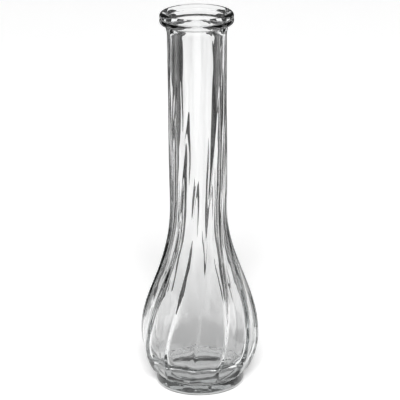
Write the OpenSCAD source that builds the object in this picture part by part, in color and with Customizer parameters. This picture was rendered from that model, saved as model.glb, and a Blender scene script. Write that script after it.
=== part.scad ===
// Glass bud vase: one hollow glass moulding with a swirl of shallow flutes.
// Units are millimetres. +Z is up, and the origin is the centre of the resting face.

/* [Overall] */
// Height from the resting face to the top of the rim
height = 225; // [215:1:235]
// Number of flutes round the body
flute_count = 12; // [8:1:16]
// Turn of the flutes per millimetre of height in degrees, to the right going up
swirl_rate = 0.32; // [0:0.01:0.5]
// Angle of the lowest point of one ridge from the -Y direction, in degrees
swirl_start = -12; // [-15:1:15]

/* [Body] */
// Greatest radius of the belly, measured on the ridges
belly_r = 35.1; // [33:0.1:37]
// Height of the widest point of the belly
belly_z = 30; // [27:1:33]
// Radius of the arc below the widest point
under_r = 40; // [38:0.5:44]
// Radius of the neck, measured on the ridges
neck_r = 17; // [16.6:0.1:17.4]
// Height at which the neck becomes straight
neck_z = 116; // [108:1:125]
// Fullness of the shoulder, where a larger number makes it slimmer
shoulder_power = 1.36; // [1:0.02:1.6]
// Depth of each flute below a flat panel, as a share of the radius
flute_hollow = 0.02; // [0:0.001:0.03]
// Depth of the flutes at the top of the neck, as a share of their depth on the belly
top_depth = 0.15; // [0.1:0.05:1]

/* [Rim] */
// Outer radius of the rim bead
rim_r = 21.05; // [20.8:0.05:21.6]
// Radius of the rounded section of each of the two lobes of the bead
lobe_r = 2.2; // [2.1:0.1:2.4]
// Distance between the centres of the two lobes
lobe_gap = 2.6; // [1.8:0.1:2.8]
// Width of the flat land on top of the rim
land_w = 0.4; // [0.2:0.1:0.8]
// Radius of the smooth collar under the bead
collar_r = 17.65; // [17.5:0.05:18]

/* [Foot] */
// Outer radius of the foot ring
foot_r = 26.1; // [25.8:0.1:26.6]
// Height of the foot ring
foot_h = 7; // [6.5:0.1:7.5]
// Radius of the rounded lower edge of the foot ring
foot_round = 1.3; // [0.8:0.1:1.8]
// Radius of the rounded upper edge of the foot ring
ledge_round = 0.7; // [0.4:0.1:0.8]
// Radius of the shallow hollow under the foot
kick_r = 20; // [16:0.5:22]
// Depth of the shallow hollow under the foot
kick_depth = 1.6; // [0.8:0.1:2.4]

/* [Inside] */
// Radius of the straight bore of the neck
bore_r = 13.8; // [13.2:0.1:14.2]
// Thickness of the glass at the belly, measured at the middle of a flute
belly_wall = 3; // [2.6:0.1:4]
// Thickness of the glass in the middle of the floor, above the resting face
floor_wall = 9; // [8:0.5:10]
// Length of the flare from the bore to the widest point of the mouth
flare_h = 10; // [8:0.5:12]

/* [Hidden] */
$fn = 96;
flute_steps = 6; // faces across one flute
tuck_in = 3; // how far the body draws in to meet the foot ring
tuck_h = 2.2; // height over which it draws in
root_h = 0.5; // depth to which the fluted body runs into the foot ring and the rim
fade_h = 5; // height over which the flutes die out under the collar
collar_lap = 0.12; // how far the collar stands proud of the fluted body below it
overlap = 1; // how far a cut runs past the glass or into the next cut
arc_steps = 8; // points on each quarter of a rounded edge
deep_z = 100; // the flutes have their full depth up to this height
shallow_z = 205; // and their least depth from this height
round_low_z = 50; // the inside follows the flutes up to this height
ridge_round = 0.5; // softness of the ridges outside
inner_round = 0.8; // softness of the ridges inside
dish_flat_r = 1.5; // radius of the flat middle of the floor
bore_step = 0.05; // how far the fluted inside stands outside the bore where they meet
panel_angle = 360 / flute_count;
ring_size = flute_count * flute_steps;
flat_share = cos(panel_angle / 2);
lobe_x = rim_r - lobe_r;
top_lobe_z = height - lobe_r;
low_lobe_z = top_lobe_z - lobe_gap;
collar_z = low_lobe_z - lobe_r - 1;
mouth_r = lobe_x - lobe_r;
flare_z = top_lobe_z - flare_h;
inner_belly_r = belly_r * (flat_share - flute_hollow) - belly_wall;

// 1 at the widest point of the belly, falling smoothly to 0 where the neck is straight
function shoulder(z) = pow((1 + cos(180 * min(1, (z - belly_z) / (neck_z - belly_z)))) / 2, shoulder_power);

// Smooth step from 0 at a to 1 at b
function ease(z, a, b) = let (t = max(0, min(1, (z - a) / (b - a)))) t * t * (3 - 2 * t);

// Radius of the ridges at height z
function under_belly(z) = belly_r - under_r + sqrt(under_r * under_r - pow(belly_z - z, 2));
function tuck(z) = tuck_in * pow(max(0, 1 - (z - foot_h) / tuck_h), 2);
function upper_body(z) = neck_r + (belly_r - neck_r) * shoulder(z)
    + (collar_r - collar_lap - neck_r) * ease(z, collar_z - fade_h, collar_z);
function ridge_r(z) = z < belly_z ? under_belly(z) - tuck(z) : upper_body(z);

// How deep the flutes are at height z: full over the belly, shallow up the neck, 0 under the collar
function flute_depth(z) = (1 - (1 - top_depth) * ease(z, deep_z, shallow_z))
    * (1 - ease(z, collar_z - fade_h, collar_z - 1));

// Share of the ridge radius at an angle from the middle of a flute, with the ridge softened
function panel(a, radius, softness) =
    let (
        soft = sqrt(pow(panel_angle / 2 - abs(a), 2) + pow(softness / radius * 180 / PI, 2)),
        b = panel_angle / 2 - soft
    )
    flat_share / cos(b) - flute_hollow * (1 - pow(2 * b / panel_angle, 2));

// A point of a ring that turns with the swirl
function swirled(r, z, i) =
    let (turn = swirl_start + swirl_rate * (z - foot_h) + i * panel_angle / flute_steps)
    [r * sin(turn), -r * cos(turn), z];

// Angle of point i of a ring from the middle of its flute
function flute_angle(i) = (i % flute_steps) * panel_angle / flute_steps - panel_angle / 2;

// One point of the fluted outside
function body_point(z, i) =
    let (share = panel(flute_angle(i), ridge_r(z), ridge_round))
    swirled(ridge_r(z) * (1 - flute_depth(z) * (1 - share)), z, i);

// One point of the inside, which follows the flutes over the belly and is round at the neck
function inner_point(radius, z, i) =
    let (
        follow = 1 - ease(z, round_low_z, neck_z),
        share = panel(flute_angle(i), radius, inner_round)
    )
    swirled(radius * (1 + follow * (share - flat_share)), z, i);

// Heights of the rings of points: close at the foot and collar, wider along the neck
ring_z = concat(
    [foot_h - root_h, foot_h, foot_h + 0.5, foot_h + 1, foot_h + 1.6, foot_h + 2.4, foot_h + 3.8],
    [for (k = [0 : 26]) foot_h + 5.5 + k * (neck_z - foot_h - 5.5) / 26],
    [for (k = [1 : 9]) neck_z + k * (collar_z - fade_h - neck_z) / 9],
    [for (k = [1 : 5]) collar_z - fade_h + k * fade_h / 5],
    [collar_z + root_h]
);

// A closed skin over a stack of rings, from the lowest ring to the highest
module skin(rings) {
    last = len(rings) - 1;
    points = [for (ring = rings) each ring];
    sides = [
        for (k = [0 : last - 1]) for (i = [0 : ring_size - 1])
            let (a = k * ring_size + i, b = k * ring_size + (i + 1) % ring_size)
                each [[a, a + ring_size, b], [b, a + ring_size, b + ring_size]]
    ];
    bottom = [for (i = [0 : ring_size - 1]) i];
    top = [for (i = [ring_size - 1 : -1 : 0]) last * ring_size + i];
    polyhedron(points = points, faces = concat(sides, [bottom, top]), convexity = 4);
}

module fluted_body() {
    skin([for (z = ring_z) [for (i = [0 : ring_size - 1]) body_point(z, i)]]);
}

// Points on an arc of radius r about [x, z], from angle a to angle b
function arc(x, z, r, a, b, steps = arc_steps) =
    [for (k = [0 : steps]) let (t = a + (b - a) * k / steps) [x + r * cos(t), z + r * sin(t)]];

// Foot ring: rounded below and above, with a shallow hollow under it
module foot_ring() {
    kick_arc_r = (kick_r * kick_r + kick_depth * kick_depth) / (2 * kick_depth);
    kick_angle = asin(kick_r / kick_arc_r);
    rotate_extrude()
        polygon(concat(
            arc(0, kick_depth - kick_arc_r, kick_arc_r, 90, 90 - kick_angle),
            arc(foot_r - foot_round, foot_round, foot_round, -90, 0),
            arc(foot_r - ledge_round, foot_h - ledge_round, ledge_round, 0, 90, 4),
            [[0, foot_h]]
        ));
}

// Rim: a smooth collar and a bead of two rounded lobes with a fine groove between them
module rim() {
    groove_angle = asin(lobe_gap / 2 / lobe_r);
    root_angle = acos((collar_r - lobe_x) / lobe_r);
    rotate_extrude()
        polygon(concat(
            [[0, collar_z], [collar_r, collar_z]],
            arc(lobe_x, low_lobe_z, lobe_r, -root_angle, groove_angle, 2 * arc_steps),
            arc(lobe_x, top_lobe_z, lobe_r, -groove_angle, 80, 2 * arc_steps),
            [[lobe_x + land_w / 2, height], [0, height]]
        ));
}

// The belly inside: a dished floor that rises into the shoulder, following the flutes
module fluted_inside() {
    drop = belly_z - floor_wall;
    dish = [for (k = [1 : 10]) let (t = 90 * k / 10)
        [inner_belly_r * pow(sin(t), 0.8), belly_z - drop * pow(cos(t), 0.8)]];
    top_r = bore_r + bore_step;
    shoulder_line = [for (k = [1 : 15]) let (z = belly_z + k * (neck_z - belly_z) / 15)
        [top_r + (inner_belly_r - top_r) * shoulder(z), z]];
    profile = concat([[dish_flat_r, floor_wall]], dish, shoulder_line);
    skin([for (p = profile) [for (i = [0 : ring_size - 1]) inner_point(p[0], p[1], i)]]);
}

// Everything inside the vase: the fluted belly, the straight bore and the flared mouth
module cavity() {
    flare = [for (k = [0 : 8]) let (z = flare_z + k * flare_h / 8)
        [bore_r + (mouth_r - bore_r) * ease(z, flare_z, top_lobe_z), z]];
    lip = arc(lobe_x, top_lobe_z, lobe_r, 172, 100);
    fluted_inside();
    rotate_extrude()
        polygon(concat([[0, neck_z - overlap], [bore_r, neck_z - overlap]], flare, lip,
            [[lobe_x - land_w / 2, height], [lobe_x - land_w / 2, height + overlap], [0, height + overlap]]));
}

module vase() {
    color([0.86, 0.9, 0.9, 0.45])
        difference() {
            union() {
                fluted_body();
                foot_ring();
                rim();
            }
            cavity();
        }
}

vase();
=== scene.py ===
import math

import bpy
import numpy as np
from mathutils import Matrix, Vector


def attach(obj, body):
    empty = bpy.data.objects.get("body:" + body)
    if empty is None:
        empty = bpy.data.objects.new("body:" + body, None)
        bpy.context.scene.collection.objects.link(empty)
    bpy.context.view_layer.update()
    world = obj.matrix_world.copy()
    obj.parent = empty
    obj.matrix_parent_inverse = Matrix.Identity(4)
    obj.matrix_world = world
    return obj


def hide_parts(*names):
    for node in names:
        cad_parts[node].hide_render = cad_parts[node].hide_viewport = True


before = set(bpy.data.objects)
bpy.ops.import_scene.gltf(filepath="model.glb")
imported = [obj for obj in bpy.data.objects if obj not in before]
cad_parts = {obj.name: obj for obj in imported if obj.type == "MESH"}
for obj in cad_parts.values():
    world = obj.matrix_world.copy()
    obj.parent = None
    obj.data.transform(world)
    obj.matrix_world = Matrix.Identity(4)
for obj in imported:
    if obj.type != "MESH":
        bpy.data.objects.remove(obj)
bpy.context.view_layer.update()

MM = 0.001

# The vase, in millimetres, as in the CAD model
HEIGHT = 225
FLUTES = 12
SWIRL_RATE = 0.32
SWIRL_START = -12
BELLY_R, BELLY_Z, UNDER_R = 35.1, 30, 40
NECK_R, NECK_Z, SHOULDER_POWER = 17, 116, 1.36
FLUTE_HOLLOW, RIDGE_ROUND, INNER_ROUND = 0.02, 0.5, 0.8
TOP_DEPTH, DEEP_Z, SHALLOW_Z, ROUND_LOW_Z = 0.15, 100, 205, 50
TUCK_IN, TUCK_H, FADE_H, FILLET = 3.0, 2.2, 5, 0.4
RIM_R, LOBE_R, LOBE_GAP, COLLAR_R = 21.05, 2.2, 2.6, 17.65
FOOT_R, FOOT_H, FOOT_ROUND, LEDGE_ROUND = 26.1, 7, 1.3, 0.7
KICK_R, KICK_DEPTH = 20, 1.6
BORE_R, BELLY_WALL, FLOOR_WALL, FLARE_H = 13.8, 3.0, 9, 10
DISH_POWER = 0.8
LAND_H = 1  # plain glass under the bead, and again between the flutes and the collar

# Glass surface and colour: scales are per metre, depths in metres
RIPPLE_SCALE, RIPPLE_STRETCH, RIPPLE_DEPTH = 140.0, 0.25, 0.00035
SKIN_SCALE, SKIN_DEPTH = 900.0, 0.000002
TONE_LOW = 0.97
HAZE = 0.02
GLASS_TINT = (0.94, 0.945, 0.945, 1)
GLASS_DENSITY = 135.0

# How finely the mesh follows the shape
STEPS_PER_FLUTE = 20
BODY_STEP = 0.8
INSIDE_STEP = 1.0
KICK_STEPS, FOOT_STEPS, LEDGE_STEPS = 14, 12, 8
LOW_LOBE_STEPS, TOP_LOBE_STEPS = 24, 40
FLARE_STEPS, DISH_STEPS = 22, 40
# Heights above the foot of the close rings where the body meets it, and of the first even one
ROOT_STEPS = [0.01, 0.05, 0.12, 0.22, 0.32, 0.45, 0.6, 0.8, 1.0, 1.25, 1.5, 1.75, 2.0, 2.3]
ROOT_END = 2.8

AROUND = FLUTES * STEPS_PER_FLUTE
PANEL = 2 * math.pi / FLUTES
FLAT = math.cos(PANEL / 2)
LOBE_X = RIM_R - LOBE_R
TOP_LOBE_Z = HEIGHT - LOBE_R
LOW_LOBE_Z = TOP_LOBE_Z - LOBE_GAP
COLLAR_Z = LOW_LOBE_Z - LOBE_R - LAND_H
MOUTH_R = LOBE_X - LOBE_R
FLARE_Z = TOP_LOBE_Z - FLARE_H
INNER_BELLY_R = BELLY_R * (FLAT - FLUTE_HOLLOW) - BELLY_WALL


def ease(value, low, high):
    """Smooth step from 0 at low to 1 at high."""
    t = np.clip((value - low) / (high - low), 0, 1)
    return t * t * (3 - 2 * t)


def shoulder(z):
    """1 at the widest point of the belly, falling to 0 where the neck is straight."""
    share = np.clip((z - BELLY_Z) / (NECK_Z - BELLY_Z), 0, 1)
    return ((1 + np.cos(np.pi * share)) / 2) ** SHOULDER_POWER


def ridge_radius(z):
    if z < BELLY_Z:
        under = BELLY_R - UNDER_R + math.sqrt(UNDER_R**2 - (BELLY_Z - z) ** 2)
        return under - TUCK_IN * max(0, 1 - (z - FOOT_H) / TUCK_H) ** 2
    rise = (COLLAR_R - NECK_R) * ease(z, COLLAR_Z - FADE_H, COLLAR_Z)
    return NECK_R + (BELLY_R - NECK_R) * shoulder(z) + rise


def flute_depth(z):
    """Depth of the flutes: full over the belly, shallow up the neck, none under the collar."""
    up_the_neck = 1 - (1 - TOP_DEPTH) * ease(z, DEEP_Z, SHALLOW_Z)
    return up_the_neck * (1 - ease(z, COLLAR_Z - FADE_H, COLLAR_Z - LAND_H))


def flute_share(radius, ridge_round):
    """Fluted outline round one ring, as a share of the ridge's radius, with softened ridges."""
    angle = (np.arange(AROUND) % STEPS_PER_FLUTE) / STEPS_PER_FLUTE * PANEL - PANEL / 2
    from_ridge = PANEL / 2 - np.abs(angle)
    soft_angle = PANEL / 2 - np.sqrt(from_ridge**2 + (ridge_round / radius) ** 2)
    return FLAT / np.cos(soft_angle) - FLUTE_HOLLOW * (1 - (2 * soft_angle / PANEL) ** 2)


def outer_ring(z):
    radius = ridge_radius(z)
    ring = radius * (1 - flute_depth(z) * (1 - flute_share(radius, RIDGE_ROUND)))
    above_foot = z - FOOT_H
    if above_foot < FILLET:
        ring = ring + FILLET - math.sqrt(FILLET**2 - (FILLET - above_foot) ** 2)
    return ring


def inner_ring(z, radius):
    """The inside follows the flutes over the belly and is round at the neck."""
    follow = 1 - ease(z, ROUND_LOW_Z, NECK_Z)
    return radius * (1 + follow * (flute_share(radius, INNER_ROUND) - FLAT))


def arc(x, z, r, start, end, steps):
    turns = np.radians(np.linspace(start, end, steps + 1))
    return [(x + r * math.cos(t), z + r * math.sin(t)) for t in turns]


def foot_profile():
    kick_arc_r = (KICK_R**2 + KICK_DEPTH**2) / (2 * KICK_DEPTH)
    kick_angle = math.degrees(math.asin(KICK_R / kick_arc_r))
    under = arc(0, KICK_DEPTH - kick_arc_r, kick_arc_r, 90, 90 - kick_angle, KICK_STEPS)[1:]
    lower_edge = arc(FOOT_R - FOOT_ROUND, FOOT_ROUND, FOOT_ROUND, -90, 0, FOOT_STEPS)
    ledge = arc(FOOT_R - LEDGE_ROUND, FOOT_H - LEDGE_ROUND, LEDGE_ROUND, 0, 90, LEDGE_STEPS)
    return under + lower_edge + ledge


def rim_profile():
    """Collar, the two lobes of the bead, and the flare down to the bore."""
    groove = math.degrees(math.asin(LOBE_GAP / 2 / LOBE_R))
    root = math.degrees(math.acos((COLLAR_R - LOBE_X) / LOBE_R))
    collar = [(COLLAR_R, COLLAR_Z + 0.2)]
    low_lobe = arc(LOBE_X, LOW_LOBE_Z, LOBE_R, -root, groove, LOW_LOBE_STEPS)
    top_lobe = arc(LOBE_X, TOP_LOBE_Z, LOBE_R, -groove, 180, TOP_LOBE_STEPS)[1:]
    flare = [
        (BORE_R + (MOUTH_R - BORE_R) * ease(z, FLARE_Z, TOP_LOBE_Z), z)
        for z in np.linspace(TOP_LOBE_Z, FLARE_Z, FLARE_STEPS)[1:]
    ]
    return collar + low_lobe + top_lobe + flare


def vase_rings():
    """Rings of points from the underside, up the outside, and down the inside to the floor."""
    rings = [(z, np.full(AROUND, r)) for r, z in foot_profile()]
    body = [FOOT_H + step for step in ROOT_STEPS]
    body.extend(np.arange(FOOT_H + ROOT_END, COLLAR_Z + 0.1, BODY_STEP))
    rings.extend((z, outer_ring(z)) for z in body)
    rings.extend((z, np.full(AROUND, r)) for r, z in rim_profile())
    for z in np.arange(FLARE_Z, BELLY_Z, -INSIDE_STEP)[1:]:
        rings.append((z, inner_ring(z, BORE_R + (INNER_BELLY_R - BORE_R) * shoulder(z))))
    for t in np.radians(np.linspace(90, 0, DISH_STEPS)[:-1]):
        z = BELLY_Z - (BELLY_Z - FLOOR_WALL) * max(0, math.cos(t)) ** DISH_POWER
        rings.append((z, inner_ring(z, INNER_BELLY_R * math.sin(t) ** DISH_POWER)))
    return rings


def vase_mesh():
    """One closed skin over the rings, each ring turned with the swirl."""
    rings = vase_rings()
    around = np.arange(AROUND) * 2 * math.pi / AROUND
    coords = [(0, 0, KICK_DEPTH)]
    for z, r in rings:
        turn = math.radians(SWIRL_START + SWIRL_RATE * (z - FOOT_H)) + around
        coords.extend(zip(r * np.sin(turn), -r * np.cos(turn), np.full(AROUND, z)))
    coords.append((0, 0, FLOOR_WALL))
    last = len(coords) - 1
    top = 1 + (len(rings) - 1) * AROUND
    faces = []
    for i in range(AROUND):
        j = (i + 1) % AROUND
        faces.append((0, 1 + j, 1 + i))
        for low in range(1, top, AROUND):
            high = low + AROUND
            faces.append((low + i, low + j, high + j, high + i))
        faces.append((top + i, top + j, last))
    mesh = bpy.data.meshes.new("glass_vase")
    mesh.from_pydata([tuple(float(v) * MM for v in point) for point in coords], [], faces)
    mesh.shade_smooth()
    return mesh


def noise(tree, place, scale, detail):
    node = tree.nodes.new("ShaderNodeTexNoise")
    node.inputs["Scale"].default_value = scale
    node.inputs["Detail"].default_value = detail
    tree.links.new(place, node.inputs["Vector"])
    return node.outputs["Fac"]


def glass_material():
    """Clear pressed glass: soft ripples from the mould, a fine skin, and a trace of haze."""
    mat = bpy.data.materials.new("clear_glass")
    mat.use_nodes = True
    tree = mat.node_tree
    glass = tree.nodes["Principled BSDF"]
    glass.inputs["Transmission Weight"].default_value = 1
    glass.inputs["IOR"].default_value = 1.5
    coords = tree.nodes.new("ShaderNodeTexCoord")
    stretch = tree.nodes.new("ShaderNodeMapping")
    stretch.inputs["Scale"].default_value = (1, 1, RIPPLE_STRETCH)
    tree.links.new(coords.outputs["Object"], stretch.inputs["Vector"])
    ripples = noise(tree, stretch.outputs["Vector"], RIPPLE_SCALE, 1.0)
    skin = noise(tree, coords.outputs["Object"], SKIN_SCALE, 2.0)

    tone = tree.nodes.new("ShaderNodeMapRange")
    tone.inputs["To Min"].default_value = TONE_LOW
    tone.inputs["To Max"].default_value = 1.0
    tree.links.new(ripples, tone.inputs["Value"])
    tree.links.new(tone.outputs["Result"], glass.inputs["Base Color"])

    haze = tree.nodes.new("ShaderNodeMapRange")
    haze.inputs["To Min"].default_value = 0.0
    haze.inputs["To Max"].default_value = HAZE
    tree.links.new(skin, haze.inputs["Value"])
    tree.links.new(haze.outputs["Result"], glass.inputs["Roughness"])

    normal = None
    for height, depth in ((ripples, RIPPLE_DEPTH), (skin, SKIN_DEPTH)):
        bump = tree.nodes.new("ShaderNodeBump")
        bump.inputs["Strength"].default_value = 1.0
        bump.inputs["Distance"].default_value = depth
        tree.links.new(height, bump.inputs["Height"])
        if normal:
            tree.links.new(normal, bump.inputs["Normal"])
        normal = bump.outputs["Normal"]
    tree.links.new(normal, glass.inputs["Normal"])

    absorb = tree.nodes.new("ShaderNodeVolumeAbsorption")
    absorb.inputs["Color"].default_value = GLASS_TINT
    absorb.inputs["Density"].default_value = GLASS_DENSITY
    tree.links.new(absorb.outputs["Volume"], tree.nodes["Material Output"].inputs["Volume"])
    return mat


vase = bpy.data.objects.new("glass_vase", vase_mesh())
bpy.context.collection.objects.link(vase)
vase.data.materials.append(glass_material())
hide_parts("vase")
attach(vase, "root")

# Studio, in metres. Bearings are in degrees from straight behind the vase (+Y) towards +X.
# The floor curves up into a low backdrop, and glows evenly, like a lit table
SWEEP_R, SWEEP_RISE, SWEEP_TOP = 2.6, 0.4, 0.5
SWEEP_TONE, SWEEP_GLOW = 0.9, 0.38
SWEEP_AROUND, SWEEP_CURVE_STEPS = 96, 8
# Each soft box has a bearing, an elevation, a distance, a side and a radiance
OVERHEAD = (0, 90, 2.0, 4.0, 0.1)
FRONT = (180, 42, 5.0, 1.8, 26.0)
ROOM_TONE = 0.1
# Dark cards stand round the vase, hidden from the camera, and draw the dark lines in the glass.
# A card stands between two bearings, and there is a gap at every eighth of a turn.
CARD_TONE = 0.06
CARD_STEPS = 48
CARD_R, CARD_TOP = 0.13, 0.5
CARDS = [
    (11, 38), (52, 80), (100, 126), (144, 165),
    (-38, -11), (-80, -52), (-128, -100), (-160, -142),
]
# A wide dark band hangs all round, above the horizon, and draws the dark arcs in the rim
BAND_TONE = 0.08
BAND_R, BAND_LOW, BAND_TOP = 1.15, 0.25, 0.8

# The camera stands in front of the vase and half a metre up, and looks down to the middle of it
CAMERA_PLACE = (0.0009, -1.1, 0.5002)
CAMERA_AIM = (0.0009, 0, 0.1128)
CAMERA_ROLL = -0.55
LENS, SENSOR = 180.8, 36


def plain_material(name, tone, glow):
    mat = bpy.data.materials.new(name)
    mat.use_nodes = True
    shader = mat.node_tree.nodes["Principled BSDF"]
    shader.inputs["Base Color"].default_value = (tone, tone, tone, 1)
    shader.inputs["Roughness"].default_value = 0.9
    shader.inputs["Specular IOR Level"].default_value = 0.0
    shader.inputs["Emission Color"].default_value = (1, 1, 1, 1)
    shader.inputs["Emission Strength"].default_value = glow
    return mat


def stage_piece(name, coords, faces, mat):
    mesh = bpy.data.meshes.new(name)
    mesh.from_pydata(coords, [], faces)
    mesh.materials.append(mat)
    piece = bpy.data.objects.new(name, mesh)
    bpy.context.collection.objects.link(piece)
    return piece


def sweep():
    """A round pale floor that curves up into a low backdrop."""
    curve = arc(SWEEP_R - SWEEP_RISE, SWEEP_RISE, SWEEP_RISE, -90, 0, SWEEP_CURVE_STEPS)
    profile = curve + [(SWEEP_R, SWEEP_TOP)]
    turns = np.arange(SWEEP_AROUND) * 2 * math.pi / SWEEP_AROUND
    coords = [(0, 0, 0)]
    for r, z in profile:
        coords.extend((r * math.cos(t), r * math.sin(t), z) for t in turns)
    faces = []
    for i in range(SWEEP_AROUND):
        j = (i + 1) % SWEEP_AROUND
        faces.append((0, 1 + i, 1 + j))
        for k in range(len(profile) - 1):
            low = 1 + k * SWEEP_AROUND
            high = low + SWEEP_AROUND
            faces.append((low + i, low + j, high + j, high + i))
    stage_piece("sweep", coords, faces, plain_material("sweep", SWEEP_TONE, SWEEP_GLOW))


def card(name, first, last, distance, low, top, mat):
    """A dark upright card that only the glass sees. It neither shades the floor nor hides the vase."""
    turns = np.radians(np.linspace(first, last, CARD_STEPS + 1))
    coords = [(distance * math.sin(t), distance * math.cos(t), z) for z in (low, top) for t in turns]
    upper = CARD_STEPS + 1
    faces = [(i, i + 1, upper + i + 1, upper + i) for i in range(CARD_STEPS)]
    piece = stage_piece(name, coords, faces, mat)
    piece.visible_camera = False
    piece.visible_diffuse = False
    piece.visible_shadow = False


def soft_light(name, bearing, elevation, distance, size, radiance):
    """A square soft box that faces the vase."""
    light = bpy.data.lights.new(name, "AREA")
    light.shape = "SQUARE"
    light.size = size
    light.energy = radiance * math.pi * size**2
    lamp = bpy.data.objects.new(name, light)
    bpy.context.collection.objects.link(lamp)
    turn, rise = math.radians(bearing), math.radians(elevation)
    flat = math.cos(rise)
    way = Vector((math.sin(turn) * flat, math.cos(turn) * flat, math.sin(rise)))
    facing = way.to_track_quat("Z", "Y").to_matrix().to_4x4()
    lamp.matrix_world = Matrix.Translation(way * distance) @ facing
    lamp.visible_camera = False
    return lamp


def place_camera():
    data = bpy.data.cameras.new("camera")
    data.lens = LENS
    data.sensor_width = SENSOR
    data.clip_start = 0.01
    camera = bpy.data.objects.new("camera", data)
    bpy.context.collection.objects.link(camera)
    place = Vector(CAMERA_PLACE)
    look = (Vector(CAMERA_AIM) - place).to_track_quat("-Z", "Y").to_matrix().to_4x4()
    roll = Matrix.Rotation(math.radians(CAMERA_ROLL), 4, "Z")
    camera.matrix_world = Matrix.Translation(place) @ look @ roll
    bpy.context.scene.camera = camera


sweep()
card_material = plain_material("card", 0, CARD_TONE)
for number, (first, last) in enumerate(CARDS, 1):
    card(f"card_{number}", first, last, CARD_R, 0, CARD_TOP, card_material)
card("band", -180, 180, BAND_R, BAND_LOW, BAND_TOP, plain_material("band", 0, BAND_TONE))
soft_light("overhead", *OVERHEAD)
# The front box lights the floor and draws no square highlight in the glass
front = soft_light("front", *FRONT)
front.visible_glossy = False
front.visible_transmission = False
place_camera()

world = bpy.data.worlds.new("studio")
world.use_nodes = True
room = world.node_tree.nodes["Background"]
room.inputs["Color"].default_value = (ROOM_TONE, ROOM_TONE, ROOM_TONE, 1)
scene = bpy.context.scene
scene.world = world
scene.view_settings.view_transform = "Standard"
scene.cycles.max_bounces = 32
scene.cycles.transmission_bounces = 32
scene.cycles.glossy_bounces = 8
